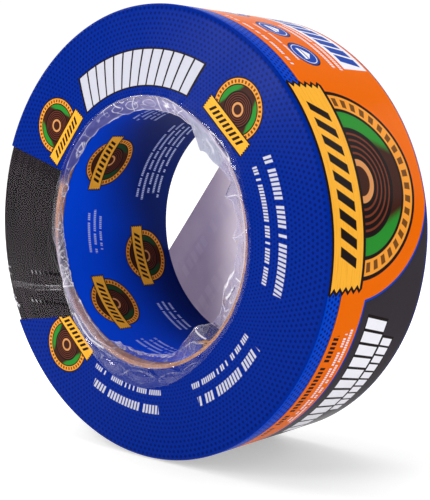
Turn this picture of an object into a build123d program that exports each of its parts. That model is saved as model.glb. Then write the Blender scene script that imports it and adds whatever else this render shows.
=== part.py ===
"""Roll of duct tape in its printed shrink sleeve, with a printed card in the core.

The roll's axis runs along Y, its front face looks towards -Y, and it stands on its
tread at z = 0, with the origin under the middle of the roll. Sizes are millimetres.
"""
from build123d import *
import os

os.makedirs("parts", exist_ok=True)

# ---- driving dimensions ------------------------------------------------------
TAPE_WIDTH = 47.75          # 1.88 in, the nominal width of the strip
CORE_BORE_R = 38.1          # 3 in core
PLY_COUNT = 3               # paperboard plies in the core wall
PLY_T = 0.46                # one ply
GLUE_T = 0.05               # glue line outside each ply
TAPE_OUTER_R = 66.0         # radius over the last turn
TAPE_PITCH = 0.38           # thickness that one turn of the strip adds
TAPE_SHOULDER_R = 65.2      # beyond this the outer turns are drawn in by the sleeve,
TAPE_SHOULDER_INSET = 0.7   # by this much at each edge

FILM_T = 0.15               # sleeve film
FILM_GAP = 0.05             # air under the film
FILM_EDGE_R = 1.0           # rounded outer edge of the film
FILM_INNER_R = 40.0         # where the flat faces of the sleeve end
PERFORATION = 0.1           # width of a perforation line

SKIRT_INNER_R = 38.15       # film gathered around the rims of the core
COLLAR_OUTER_R = 38.0       # front skirt where it turns into the core
COLLAR_DEPTH = 1.8

CARD_OUTER_R = 38.0         # rolled card, free to slide in the core
CARD_T = 0.3
CARD_RECESS = 2.0           # how far the card sits behind the front rim
CARD_SEAM = 0.5             # gap where the rolled card's edges meet
FLAP_T = 0.2                # sheet that lies across the back of the core
FLAP_LENGTH = 96.0
FLAP_WIDTH = 64.0
FLAP_EDGE_OFFSET = 22.3     # straight edge of the flap to the roll's axis
FLAP_TURN = 51.4            # degrees, direction of that edge seen from the front

# The clear window in the print, seen from the front, with the axis at (0, 0).
WINDOW_OUTER_X = -70.0
WINDOW_INNER_X = -30.0
WINDOW_TOP_OUTER_Z = 29.4
WINDOW_TOP_INNER_Z = 16.4
WINDOW_BOTTOM_OUTER_Z = -32.5
WINDOW_BOTTOM_INNER_Z = -26.9
TEAR_TOP_Z = -14.4          # upper perforation line
TEAR_BOTTOM_Z = -23.9       # lower perforation line
TEAR_FOLD_X = -60.2         # fold line about which the strip's end lifts

# ---- derived dimensions --------------------------------------------------------
HALF_WIDTH = TAPE_WIDTH / 2
TAPE_INNER_R = CORE_BORE_R + PLY_COUNT * (PLY_T + GLUE_T)
ROLL_R = TAPE_OUTER_R + FILM_GAP + FILM_T
FILM_HALF = HALF_WIDTH + FILM_GAP + FILM_T
CARD_FRONT_Y = -HALF_WIDTH + CARD_RECESS
FLAP_FRONT_Y = FILM_HALF + FILM_GAP

# ---- planes and axis -------------------------------------------------------------
ROLL_CENTRE = (0, 0, ROLL_R)
roll_axis = Axis(ROLL_CENTRE, (0, 1, 0))
# Radius to the right and the roll's axis upwards: the plane of every turned section.
section_plane = Plane(origin=ROLL_CENTRE, x_dir=(1, 0, 0), z_dir=(0, 0, 1))
# The front view: x to the right, z up, drawn about the roll's axis.
front_plane = Plane(origin=ROLL_CENTRE, x_dir=(1, 0, 0), z_dir=(0, -1, 0))


def ring_section(inner_r, outer_r, near_y, far_y):
    """Rectangle of a turned section, from one radius and one axial place to another."""
    with BuildSketch(section_plane) as section:
        with Locations(((inner_r + outer_r) / 2, (near_y + far_y) / 2)):
            Rectangle(outer_r - inner_r, far_y - near_y)
    return section.sketch


def sleeve_section():
    """Section of the whole film: a tread and two flat faces, with rounded outer edges."""
    inner_half = FILM_HALF - FILM_T
    open_r = FILM_INNER_R - 1
    with BuildSketch(section_plane) as section:
        with BuildLine():
            FilletPolyline(
                (FILM_INNER_R, -FILM_HALF),
                (ROLL_R, -FILM_HALF),
                (ROLL_R, FILM_HALF),
                (FILM_INNER_R, FILM_HALF),
                radius=FILM_EDGE_R,
            )
            Line((FILM_INNER_R, FILM_HALF), (FILM_INNER_R, -FILM_HALF))
        make_face()
        with BuildLine():
            FilletPolyline(
                (open_r, -inner_half),
                (ROLL_R - FILM_T, -inner_half),
                (ROLL_R - FILM_T, inner_half),
                (open_r, inner_half),
                radius=FILM_EDGE_R - FILM_T,
            )
            Line((open_r, inner_half), (open_r, -inner_half))
        make_face(mode=Mode.SUBTRACT)
    return section.sketch


def front_region(*corners):
    """Straight-sided region of the front view, about the roll's axis."""
    with BuildSketch(front_plane) as region:
        with BuildLine():
            Polyline(*corners, close=True)
        make_face()
    return region.sketch


# ---- core: three plies of paperboard ----------------------------------------------
ply_names = ["core_inner_ply", "core_middle_ply", "core_outer_ply"]
for index, ply_name in enumerate(ply_names):
    ply_inner_r = CORE_BORE_R + index * (PLY_T + GLUE_T)
    with BuildPart() as core_ply:
        ply_section = ring_section(ply_inner_r, ply_inner_r + PLY_T, -HALF_WIDTH, HALF_WIDTH)
        revolve(ply_section, axis=roll_axis)
    core_ply.part.label = ply_name
    export_step(core_ply.part, f"parts/{ply_name}.step")

# ---- tape: the wound strip, whose free end leaves a step of one thickness ------------
with BuildPart() as tape_strip:
    with BuildSketch(front_plane):
        Circle(TAPE_SHOULDER_R)
        Circle(TAPE_INNER_R, mode=Mode.SUBTRACT)
    extrude(amount=HALF_WIDTH, both=True)
    with BuildSketch(front_plane):
        with BuildLine():
            # One turn of the spiral as two half circles, the second a little smaller.
            CenterArc((0, 0), TAPE_OUTER_R, 0, 180)
            CenterArc((-TAPE_PITCH / 2, 0), TAPE_OUTER_R - TAPE_PITCH / 2, 180, 180)
            Line((TAPE_OUTER_R - TAPE_PITCH, 0), (TAPE_OUTER_R, 0))
        make_face()
        Circle(TAPE_INNER_R, mode=Mode.SUBTRACT)
    extrude(amount=HALF_WIDTH - TAPE_SHOULDER_INSET, both=True)
tape_strip.part.label = "tape_strip"
export_step(tape_strip.part, "parts/tape_strip.step")

# ---- shrink sleeve: printed region, clear window and perforated tear strip ------------
tear_top = TEAR_TOP_Z - PERFORATION
tear_bottom = TEAR_BOTTOM_Z + PERFORATION
tear_middle = (tear_top + tear_bottom) / 2
tear_width = tear_top - tear_bottom

window_region = front_region(
    (WINDOW_OUTER_X, WINDOW_TOP_OUTER_Z),
    (WINDOW_INNER_X, WINDOW_TOP_INNER_Z),
    (WINDOW_INNER_X, WINDOW_BOTTOM_INNER_Z),
    (WINDOW_OUTER_X, WINDOW_BOTTOM_OUTER_Z),
)
upper_region = front_region(
    (WINDOW_OUTER_X, WINDOW_TOP_OUTER_Z),
    (WINDOW_INNER_X, WINDOW_TOP_INNER_Z),
    (WINDOW_INNER_X, TEAR_TOP_Z),
    (WINDOW_OUTER_X, TEAR_TOP_Z),
)
lower_region = front_region(
    (WINDOW_OUTER_X, TEAR_BOTTOM_Z),
    (WINDOW_INNER_X, TEAR_BOTTOM_Z),
    (WINDOW_INNER_X, WINDOW_BOTTOM_INNER_Z),
    (WINDOW_OUTER_X, WINDOW_BOTTOM_OUTER_Z),
)
tear_region = front_region(
    (WINDOW_OUTER_X, tear_top),
    (WINDOW_INNER_X, tear_top),
    (WINDOW_INNER_X, tear_bottom),
    (WINDOW_OUTER_X, tear_bottom),
)

with BuildPart() as sleeve_printed:
    revolve(sleeve_section(), axis=roll_axis)
    extrude(window_region, amount=TAPE_WIDTH, both=True, mode=Mode.SUBTRACT)
sleeve_printed.part.label = "sleeve_printed"
export_step(sleeve_printed.part, "parts/sleeve_printed.step")

with BuildPart() as sleeve_window_upper:
    revolve(sleeve_section(), axis=roll_axis)
    extrude(upper_region, amount=TAPE_WIDTH, both=True, mode=Mode.INTERSECT)
sleeve_window_upper.part.label = "sleeve_window_upper"
export_step(sleeve_window_upper.part, "parts/sleeve_window_upper.step")

with BuildPart() as sleeve_window_lower:
    revolve(sleeve_section(), axis=roll_axis)
    extrude(lower_region, amount=TAPE_WIDTH, both=True, mode=Mode.INTERSECT)
sleeve_window_lower.part.label = "sleeve_window_lower"
export_step(sleeve_window_lower.part, "parts/sleeve_window_lower.step")

# The end of the tear strip on the front face, which lifts first.
with BuildPart() as tear_strip_end:
    with BuildSketch(front_plane.offset(FILM_HALF - FILM_T)):
        with Locations(((TEAR_FOLD_X + WINDOW_INNER_X) / 2, tear_middle)):
            Rectangle(WINDOW_INNER_X - TEAR_FOLD_X, tear_width)
        Circle(FILM_INNER_R, mode=Mode.SUBTRACT)
    extrude(amount=FILM_T)
tear_strip_end.part.label = "tear_strip_end"
export_step(tear_strip_end.part, "parts/tear_strip_end.step")

# The rest of the tear strip, over the tread and down the back face.
with BuildPart() as tear_strip:
    revolve(sleeve_section(), axis=roll_axis)
    extrude(tear_region, amount=TAPE_WIDTH, both=True, mode=Mode.INTERSECT)
    with BuildSketch(front_plane.offset(FILM_HALF - 2 * FILM_T)):
        with Locations(((TEAR_FOLD_X + WINDOW_INNER_X) / 2 - PERFORATION, tear_middle)):
            Rectangle(WINDOW_INNER_X - TEAR_FOLD_X, tear_width + 1)
    extrude(amount=3 * FILM_T, mode=Mode.SUBTRACT)
tear_strip.part.label = "tear_strip"
export_step(tear_strip.part, "parts/tear_strip.step")

# ---- skirts: clear film gathered over the two rims of the core ------------------------
skirt_outer_r = FILM_INNER_R - FILM_GAP
collar_inner_r = COLLAR_OUTER_R - FILM_T

with BuildPart() as front_skirt:
    revolve(
        ring_section(collar_inner_r, skirt_outer_r, -FILM_HALF, -FILM_HALF + FILM_T),
        axis=roll_axis,
    )
    revolve(
        ring_section(collar_inner_r, COLLAR_OUTER_R, -FILM_HALF, -FILM_HALF + COLLAR_DEPTH),
        axis=roll_axis,
    )
front_skirt.part.label = "front_skirt"
export_step(front_skirt.part, "parts/front_skirt.step")

with BuildPart() as rear_skirt:
    revolve(
        ring_section(SKIRT_INNER_R, skirt_outer_r, FILM_HALF - FILM_T, FILM_HALF),
        axis=roll_axis,
    )
rear_skirt.part.label = "rear_skirt"
export_step(rear_skirt.part, "parts/rear_skirt.step")

# ---- insert: a printed card rolled up in the core, and its flap across the back --------
with BuildPart() as insert_card:
    revolve(
        ring_section(CARD_OUTER_R - CARD_T, CARD_OUTER_R, CARD_FRONT_Y, FLAP_FRONT_Y),
        axis=roll_axis,
    )
    with BuildSketch(front_plane):
        with Locations((0, -CARD_OUTER_R)):
            Rectangle(CARD_SEAM, 2)
    extrude(amount=TAPE_WIDTH, both=True, mode=Mode.SUBTRACT)
insert_card.part.label = "insert_card"
export_step(insert_card.part, "parts/insert_card.step")

with BuildPart() as insert_flap:
    with BuildSketch(front_plane.offset(-FLAP_FRONT_Y)):
        with Locations(Rotation(0, 0, FLAP_TURN)):
            with Locations((0, FLAP_EDGE_OFFSET - FLAP_WIDTH / 2)):
                Rectangle(FLAP_LENGTH, FLAP_WIDTH)
    extrude(amount=-FLAP_T)
insert_flap.part.label = "insert_flap"
export_step(insert_flap.part, "parts/insert_flap.step")
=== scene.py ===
"""Looks of the duct tape roll: printed shrink sleeve, clear window, tape, core and card.

Lengths in the print layouts and the film shapes are millimetres about the roll's axis:
x to the right and z up seen from the front, y along the axis, and angles in degrees
from +X towards +Z. Everything that reaches Blender is in metres, in the row frame.
"""
import math

import bpy
import numpy as np
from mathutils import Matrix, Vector


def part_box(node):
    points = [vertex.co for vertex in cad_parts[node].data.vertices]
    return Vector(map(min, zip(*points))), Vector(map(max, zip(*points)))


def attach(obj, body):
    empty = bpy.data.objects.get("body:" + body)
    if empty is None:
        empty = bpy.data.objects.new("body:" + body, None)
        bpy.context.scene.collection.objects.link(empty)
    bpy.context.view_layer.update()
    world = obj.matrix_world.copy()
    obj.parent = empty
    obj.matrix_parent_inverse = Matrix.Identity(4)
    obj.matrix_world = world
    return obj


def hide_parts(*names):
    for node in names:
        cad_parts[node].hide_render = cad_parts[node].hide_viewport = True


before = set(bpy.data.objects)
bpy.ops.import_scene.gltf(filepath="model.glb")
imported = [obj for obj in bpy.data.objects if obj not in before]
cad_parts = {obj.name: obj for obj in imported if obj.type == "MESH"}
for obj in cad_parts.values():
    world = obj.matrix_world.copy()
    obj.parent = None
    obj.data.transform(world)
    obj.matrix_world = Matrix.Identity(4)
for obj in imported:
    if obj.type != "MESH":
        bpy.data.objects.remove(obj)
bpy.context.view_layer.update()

MM = 0.001
PURE = (1, 1, 1, 1)

# ---- sizes read from the frame
sleeve_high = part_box("sleeve_printed")[1]
core_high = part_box("core_outer_ply")[1]
card_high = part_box("insert_card")[1]
tape_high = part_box("tape_strip")[1]
tear_low, tear_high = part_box("tear_strip_end")

ROLL_R = sleeve_high.x / MM                  # outside of the sleeve
FILM_HALF = sleeve_high.y / MM               # half the width over the sleeve
TAPE_R = tape_high.x / MM
TAPE_HALF = tape_high.y / MM
CORE_OUT_R = core_high.x / MM
CORE_WALL = 1.48                             # three plies and the glue between them
CORE_IN_R = CORE_OUT_R - CORE_WALL
CARD_R = card_high.x / MM
CARD_T = 0.3
FILM_T = 0.06
AXIS_Z = ROLL_R

PRINT_INNER_R = 39.2                         # where the print stops, near the core
EDGE_R = 1.0                                 # rounding of the sleeve's outer edges
EDGE_STEPS = 6                               # steps round that rounding

# Heights of the window's edges in the front view, at these two places along x.
WINDOW_X = (-70.0, -30.0)
WINDOW_TOP = (29.4, 16.4)
WINDOW_BOTTOM = (-32.5, -26.9)
TEAR_TOP = (tear_high.z / MM - AXIS_Z,) * 2
TEAR_BOTTOM = (tear_low.z / MM - AXIS_Z,) * 2
FOLD_X = tear_low.x / MM


# ---- camera
def add_object(name, data):
    """A new object in the scene."""
    added = bpy.data.objects.new(name, data)
    bpy.context.scene.collection.objects.link(added)
    return added


def aim(thing, place, direction):
    """Put a camera or a lamp at a place, looking in a direction."""
    thing.location = place
    thing.rotation_euler = direction.to_track_quat("-Z", "Y").to_euler()


def make_camera():
    """The camera at the photographed angle."""
    data = bpy.data.cameras.new("camera")
    data.lens = 77.59
    data.sensor_width = 36
    data.clip_start = 0.01
    camera = add_object("camera", data)
    aim(camera, (0.2213, -0.2467, 0.0900), Vector((-0.6541, 0.7511, -0.0898)))
    bpy.context.scene.camera = camera


# ---- node arithmetic
def rgb(red, green, blue):
    """Linear colour from 0-255 display values."""
    def linear(value):
        value = value / 255
        return value / 12.92 if value <= 0.04045 else ((value + 0.055) / 1.055) ** 2.4
    return (linear(red), linear(green), linear(blue), 1.0)


def operator(operation, swapped=False):
    """A method that joins a Field and something else with one arithmetic node."""
    def join(field, other):
        pair = (other, field) if swapped else (field, other)
        return field.canvas.calc(operation, *pair)
    return join


class Field:
    """A number that varies over a surface, with ordinary arithmetic."""

    def __init__(self, canvas, socket):
        self.canvas = canvas
        self.socket = socket

    __add__ = operator("ADD")
    __radd__ = operator("ADD", True)
    __sub__ = operator("SUBTRACT")
    __rsub__ = operator("SUBTRACT", True)
    __mul__ = operator("MULTIPLY")
    __rmul__ = operator("MULTIPLY", True)
    __truediv__ = operator("DIVIDE")

    def __neg__(self):
        return self * -1

    def __abs__(self):
        return self.canvas.calc("ABSOLUTE", self)


def feed(socket, value):
    """Set a socket to a number or a colour, or link it to a Field or another socket."""
    if isinstance(value, Field):
        value = value.socket
    if isinstance(value, bpy.types.NodeSocket):
        socket.id_data.links.new(value, socket)
    else:
        socket.default_value = value


def add_node(tree, kind, inputs, **settings):
    """A new node with its settings; inputs holds what goes into its sockets."""
    node = tree.nodes.new("ShaderNode" + kind)
    for name, value in settings.items():
        setattr(node, name, value)
    for name, value in inputs.items():
        feed(node.inputs[name], value)
    return node


def smooth_range(tree, value, start, end, low=0.0, high=1.0):
    """Low before start, high after end, and smooth between them."""
    inputs = {"Value": value, "From Min": start, "From Max": end, "To Min": low, "To Max": high}
    return add_node(tree, "MapRange", inputs, interpolation_type="SMOOTHSTEP").outputs["Result"]


class Canvas:
    """The node tree of one material, with short names for the nodes a print needs."""

    def __init__(self, name):
        self.material = bpy.data.materials.new(name)
        self.material.use_nodes = True
        self.tree = self.material.node_tree
        self.shader = self.tree.nodes["Principled BSDF"]
        self.place = self.node("TexCoord").outputs["Object"]
        split = self.node("SeparateXYZ", {0: self.place})
        self.x = Field(self, split.outputs["X"]) * 1000
        self.y = Field(self, split.outputs["Y"]) * 1000
        self.z = Field(self, split.outputs["Z"]) * 1000 - AXIS_Z
        self.colour = None

    def node(self, kind, inputs=None, **settings):
        return add_node(self.tree, kind, inputs or {}, **settings)

    def calc(self, operation, *values, clamp=False):
        inputs = dict(enumerate(values))
        node = self.node("Math", inputs, operation=operation, use_clamp=clamp)
        return Field(self, node.outputs[0])

    def low(self, *values):
        result = values[0]
        for value in values[1:]:
            result = self.calc("MINIMUM", result, value)
        return result

    def high(self, *values):
        result = values[0]
        for value in values[1:]:
            result = self.calc("MAXIMUM", result, value)
        return result

    def radius(self, u, v):
        return self.calc("SQRT", u * u + v * v)

    def degrees(self, v, u):
        return self.calc("ARCTAN2", v, u) * (180 / math.pi)

    def cell(self, value):
        """Place within a cell one unit long, from -0.5 to 0.5."""
        return self.calc("FRACT", value) - 0.5

    def inside(self, distance, soft=0.14):
        """1 inside a shape and 0 outside, from the signed distance to its edge in mm."""
        return self.calc("MULTIPLY_ADD", distance, -1 / soft, 0.5, clamp=True)

    def ramp(self, value, start, end):
        """0 before start, 1 after end, and smooth between them."""
        return Field(self, smooth_range(self.tree, value, start, end))

    def vector(self, u, v):
        return self.node("CombineXYZ", {0: u, 1: v}).outputs[0]

    def grain(self, scale, detail=3.0, rough=0.5, vector=None):
        """Soft noise between 0 and 1, over the object's own place unless a vector is given."""
        place = self.place if vector is None else vector
        inputs = {"Vector": place, "Scale": scale, "Detail": detail, "Roughness": rough}
        return Field(self, self.node("TexNoise", inputs).outputs["Fac"])

    def chance(self, value):
        """A fixed random number between 0 and 1 for each whole value."""
        node = self.node("TexWhiteNoise", {"W": value}, noise_dimensions="1D")
        return Field(self, node.outputs["Value"])

    def paint(self, colour, mask=None):
        """Lay a colour over what is there already, where the mask is 1."""
        if mask is not None:
            node = self.node("Mix", {0: mask, 6: self.colour, 7: colour}, data_type="RGBA")
            colour = node.outputs[2]
        self.colour = colour

    def fill(self, colour, distance, soft=0.14):
        """Lay a colour over what is inside a shape."""
        self.paint(colour, self.inside(distance, soft))

    def bump(self, height, distance, strength=1.0):
        inputs = {"Strength": strength, "Distance": distance, "Height": height}
        feed(self.shader.inputs["Normal"], self.node("Bump", inputs).outputs["Normal"])

    def finish(self, roughness, specular):
        feed(self.shader.inputs["Base Color"], self.colour)
        feed(self.shader.inputs["Roughness"], roughness)
        feed(self.shader.inputs["Specular IOR Level"], specular)
        return self.material

    def blend(self, share, below, above):
        """Two shaders as one surface; share says how much of the second shows."""
        mixed = self.node("MixShader", {0: share, 1: below, 2: above}).outputs[0]
        feed(self.tree.nodes["Material Output"].inputs["Surface"], mixed)
        return mixed


# ---- inks
BLUE = rgb(0, 36, 134)
BLUE_DOT = rgb(0, 23, 96)
# the face's blue painted lighter on the tread's front border: painted light where the tread faces
# the lamps
BORDER_BLUE_PAINTED_LIGHTER = rgb(0, 62, 190)
ORANGE = rgb(224, 100, 0)
AMBER = rgb(232, 150, 52)
GOLD = rgb(238, 170, 52)
GOLD_GRAIN = rgb(222, 150, 30)
GREY = rgb(50, 45, 51)
WHITE = rgb(232, 230, 238)
FACE_WHITE = rgb(192, 192, 204)
INK = rgb(28, 20, 20)
HOLE = rgb(6, 4, 6)
BROWN = rgb(60, 30, 22)
RUST = rgb(110, 52, 34)
KRAFT = rgb(206, 140, 84)
GREEN = rgb(40, 132, 44)
DEEP_GREEN = rgb(30, 64, 34)
LINE_BLUE = rgb(16, 62, 160)
ROUNDEL = rgb(24, 66, 160)
# white of the film's stress-whitened creases, also used for its painted glints and highlights
CREASE_WHITE_AND_GLINT = rgb(236, 232, 238)
LILAC = rgb(188, 180, 206)
FROST = rgb(164, 166, 184)
BAND_BLUE = rgb(30, 40, 126)
# painted shade in the film's folds and hollows
PAINTED_FOLD_SHADE = rgb(66, 58, 84)


# ---- print motifs
DOT_SIZE = 0.26                              # radius of a dot, as a share of the pitch


def local_axes(u, v, centre_u, centre_v, turn):
    """Coordinates about a motif's centre, turned by an angle in degrees."""
    cosine, sine = math.cos(math.radians(turn)), math.sin(math.radians(turn))
    du, dv = u - centre_u, v - centre_v
    return du * cosine + dv * sine, dv * cosine - du * sine


def dot_grid(canvas, u, v):
    """Distance to the nearest dot's edge in two interleaved square rows; u and v in pitches."""
    tall = math.sqrt(3)
    row = v / tall
    even = canvas.radius(canvas.cell(u), canvas.cell(row) * tall)
    odd = canvas.radius(canvas.cell(u + 0.5), canvas.cell(row + 0.5) * tall)
    return canvas.low(even, odd) - DOT_SIZE


def block_row(canvas, along, across, length, height, count, slant=0.25, gap=0.22):
    """Signed distance to a row of slanted blocks, a stand-in for a line of large type."""
    sheared = along - across * slant
    step = length / count
    cell = canvas.cell(sheared / step + 0.5 * (count % 2))
    bar = abs(cell) * step - step * (1 - gap) / 2
    return canvas.high(bar, abs(across) - height / 2, abs(sheared) - length / 2)


def small_line(canvas, along, across, length, height, cell, seed):
    """Coverage, 0 to 1, of a row of small slanted blocks with gaps like those between words."""
    place = (along - across * 0.2) / cell + seed * 17.0
    index = canvas.calc("FLOOR", place)
    bar = abs(canvas.cell(place)) * cell - cell * 0.31
    blank = canvas.calc("LESS_THAN", canvas.chance(index), 0.17) * cell
    shape = canvas.high(bar + blank, abs(across) - height * 0.36, abs(along) - length / 2)
    return canvas.inside(shape, 0.2)


def small_block(canvas, along, across, length, rows, pitch, height, cell, seed):
    """Coverage, 0 to 1, of several lines of small type; across starts at the block's middle."""
    shifted = across / pitch + rows / 2
    row = canvas.calc("FLOOR", shifted)
    level = canvas.cell(shifted) * pitch
    line = small_line(canvas, along, level, length, height, cell, row + seed * 7.0)
    ragged = abs(along) - length / 2 + canvas.chance(row + 0.75) * (0.12 * length)
    limit = canvas.high(abs(across) - rows * pitch / 2, ragged)
    return line * canvas.inside(limit, 0.25)


def about_nearest(canvas, u, v, places, reach):
    """Coordinates about whichever of several motifs is within reach, and far from all elsewhere."""
    sum_u = None
    for centre_u, centre_v, turn in places:
        local_u, local_v = local_axes(u, v, centre_u, centre_v, turn)
        near = canvas.calc("LESS_THAN", canvas.radius(local_u, local_v), reach)
        if sum_u is None:
            sum_u, sum_v, found = near * local_u, near * local_v, near
        else:
            sum_u, sum_v, found = sum_u + near * local_u, sum_v + near * local_v, found + near
    return sum_u + (1 - found) * 500, sum_v


def strip_banner(canvas, u, v, half_length, half_width, teeth):
    """Signed distance to a strip of tape with sawtooth ends."""
    tooth = abs(canvas.cell(v / (2 * half_width) * teeth)) * (half_width * 2 / teeth)
    return canvas.high(abs(u) - half_length + tooth, abs(v) - half_width)


def badge(canvas, u, v, sizes, whole_ring, green):
    """A round seal: ticked amber ring, a tape roll on green, and a gold strip across it.

    sizes are the seal's radius, then the strip's drop, half length and half width."""
    size, bar_drop, bar_half_length, bar_half_width = sizes
    distance = canvas.radius(u, v)
    edge = 0.045 * size
    cut = distance - size
    if not whole_ring:
        cut = canvas.high(cut, -v - bar_drop)

    def ring(colour, shape):
        canvas.fill(colour, canvas.high(shape, cut))

    canvas.fill(INK, cut)
    ring(AMBER, distance - size + edge)
    tick = (abs(canvas.cell(canvas.degrees(v, u) / 9.0)) - 0.26) * (0.14 * size)
    tick = canvas.high(tick, abs(distance - size * 0.87) - size * 0.05)
    canvas.paint(BROWN, canvas.inside(canvas.high(tick, cut)) * 0.85)
    ring(INK, distance - size * 0.79)
    field = canvas.high(distance - size * 0.75, cut)
    canvas.fill(BROWN, field)
    glow = canvas.ramp(abs(u) + v * 0.35, 0.50 * size, 0.62 * size)
    canvas.paint(green, canvas.inside(field) * glow)
    roll_r = canvas.radius(u, v - size * 0.02)
    ring(INK, abs(roll_r - size * 0.37) - size * 0.20)
    for share in (0.50, 0.43, 0.36, 0.29):
        ring(RUST, abs(roll_r - size * share) - size * 0.012)
    ring(KRAFT, abs(roll_r - size * 0.19) - size * 0.035)

    bar_v = v + bar_drop
    bar = strip_banner(canvas, u, bar_v, bar_half_length, bar_half_width, 5)
    canvas.fill(INK, bar - edge)
    canvas.fill(GOLD, bar)
    streak = canvas.grain(1.0, 2.0, vector=canvas.vector(u * 0.12, bar_v * 2.2))
    canvas.paint(GOLD_GRAIN, canvas.inside(bar) * canvas.ramp(streak, 0.52, 0.66) * 0.6)
    length, height = bar_half_length * 1.55, bar_half_width * 1.1
    canvas.fill(INK, block_row(canvas, u, bar_v, length, height, 9, slant=0.5, gap=0.45))


def roundel(canvas, u, v, size):
    """A blue disc with a dark rim, a thin white ring, a plain triangle and a bar."""
    distance = canvas.radius(u, v)
    canvas.fill(INK, distance - size - 0.35)
    canvas.fill(ROUNDEL, distance - size)
    canvas.fill(WHITE, abs(distance - size * 0.84) - 0.12)
    bar = canvas.high(abs(v + 0.2 * size) - size * 0.12, abs(u) - size * 0.5)
    peak = canvas.high(abs(u) + v - size * 0.5, size * 0.02 - v)
    canvas.fill(WHITE, canvas.low(bar, peak))


# ---- printed film
FACE_DOTS_ROUND = 236                        # dots round one ring of the face
DOT_PITCH = 1.6                              # on the tread, mm

# Badges on the side faces: angle, radius of the ring's centre.
FACE_BADGES = ((139.6, 49.6), (44.8, 49.9), (-133.5, 50.0))
FACE_BADGE = (8.9, 5.6, 9.6, 2.1)            # sizes, as badge() takes them
# Headline on the side faces: middle angle, length in degrees, radii.
FACE_HEADLINE = (93.5, 57.0, 43.3, 53.4)
# Lines of type on the side faces: middle angle, length in degrees, radius, height, cell.
FACE_LINES = (
    (6.0, 43.5, 50.9, 3.6, 1.25),
    (6.0, 40.0, 45.9, 2.1, 0.85),
    (-49.5, 31.5, 50.9, 3.6, 1.25),
    (-49.5, 33.0, 46.3, 2.1, 0.85),
    (-99.5, 31.5, 51.4, 3.6, 1.25),
    (-99.5, 35.0, 46.3, 2.1, 0.85),
)


def film_finish(canvas, specular):
    """Shared surface of the printed film: slight unevenness and a soft gloss."""
    waves = canvas.grain(160.0, 2.0)
    smear = canvas.grain(55.0, 3.0)
    canvas.bump(waves, 0.0002, 0.25)
    return canvas.finish(smear * 0.16 + 0.14, specular)


def face_material():
    """Blue side faces: dots, headline blocks, lines of type and badges."""
    canvas = Canvas("film_face_print")
    r = canvas.radius(canvas.x, canvas.z)
    angle = canvas.degrees(canvas.z, canvas.x)
    canvas.paint(BLUE)
    turns = angle * (FACE_DOTS_ROUND / 360)
    rings = canvas.calc("LOGARITHM", r, math.e) * (FACE_DOTS_ROUND / (2 * math.pi))
    canvas.fill(BLUE_DOT, dot_grid(canvas, turns, rings), 0.16)

    middle, length, inner, outer = FACE_HEADLINE
    mean = (inner + outer) / 2
    along = (middle - angle) * (math.pi / 180 * mean)
    span = math.radians(length) * mean
    blocks = block_row(canvas, along, r - mean, span, outer - inner, 13, gap=0.16)
    canvas.fill(INK, blocks - 0.45)
    canvas.fill(FACE_WHITE, blocks)

    for seed, (middle, length, radius, height, cell) in enumerate(FACE_LINES):
        along = (middle - angle) * (math.pi / 180 * radius)
        span = math.radians(length) * radius
        line = small_line(canvas, along, r - radius, span, height, cell, seed + 1)
        canvas.paint(FACE_WHITE, line)

    places = [
        (radius * math.cos(math.radians(turn)), radius * math.sin(math.radians(turn)), turn - 90)
        for turn, radius in FACE_BADGES
    ]
    u, v = about_nearest(canvas, canvas.x, canvas.z, places, 15.0)
    badge(canvas, u, v, FACE_BADGE, False, GREEN)
    return film_finish(canvas, 0.024)


# The emblem's middle: angle, and distance from the front edge of the tread.
EMBLEM_ANGLE = 14.4
EMBLEM_Y = 15.5
EMBLEM = (26.5, 7.6, 28.6, 6.6)              # sizes, as badge() takes them
HALO_R = 33.0                                # orange round the emblem
STRIP_EDGE_Y = 6.2                           # blue border along the front edge
GREY_LOW_Y = 19.2                            # where the grey field starts
# Headline blocks on the grey: middle angle, length in degrees, y, height, how many.
GREY_HEADLINES = (
    (-38.8, 27.0, 37.9, 5.6, 10),
    (-40.6, 43.5, 28.7, 10.6, 12),
)
# Blue blocks on a white plate, given in the same way.
PLATE = (63.0, 31.0, 40.0, 8.0, 8)
# Blocks of type on the tread: middle angle, length in degrees, y, rows, pitch, height, cell, ink.
TREAD_BLOCKS = (
    (-36.0, 35.0, 14.9, 2, 2.2, 1.6, 0.75, WHITE),
    (-39.2, 42.5, 9.5, 1, 4.0, 3.6, 1.35, INK),
    (56.2, 25.0, 30.8, 2, 3.0, 1.9, 0.85, WHITE),
    (58.0, 30.0, 9.8, 1, 3.0, 1.6, 0.85, WHITE),
    (56.0, 20.0, 14.8, 1, 2.0, 1.2, 0.7, WHITE),
    (122.0, 38.0, 39.5, 1, 4.0, 3.0, 1.3, WHITE),
    (122.0, 44.0, 29.5, 5, 2.8, 1.6, 0.85, WHITE),
    (122.0, 40.0, 13.0, 1, 4.0, 2.8, 1.2, INK),
    (-124.0, 36.0, 38.0, 1, 4.0, 3.0, 1.3, WHITE),
    (-124.0, 42.0, 30.5, 3, 2.8, 1.6, 0.85, WHITE),
    (-124.0, 34.0, 13.0, 2, 2.8, 1.6, 0.85, WHITE),
)
ROUNDELS = ((62.6, 21.5, 5.0), (50.5, 20.6, 5.0), (76.5, 21.5, 5.0))


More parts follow.
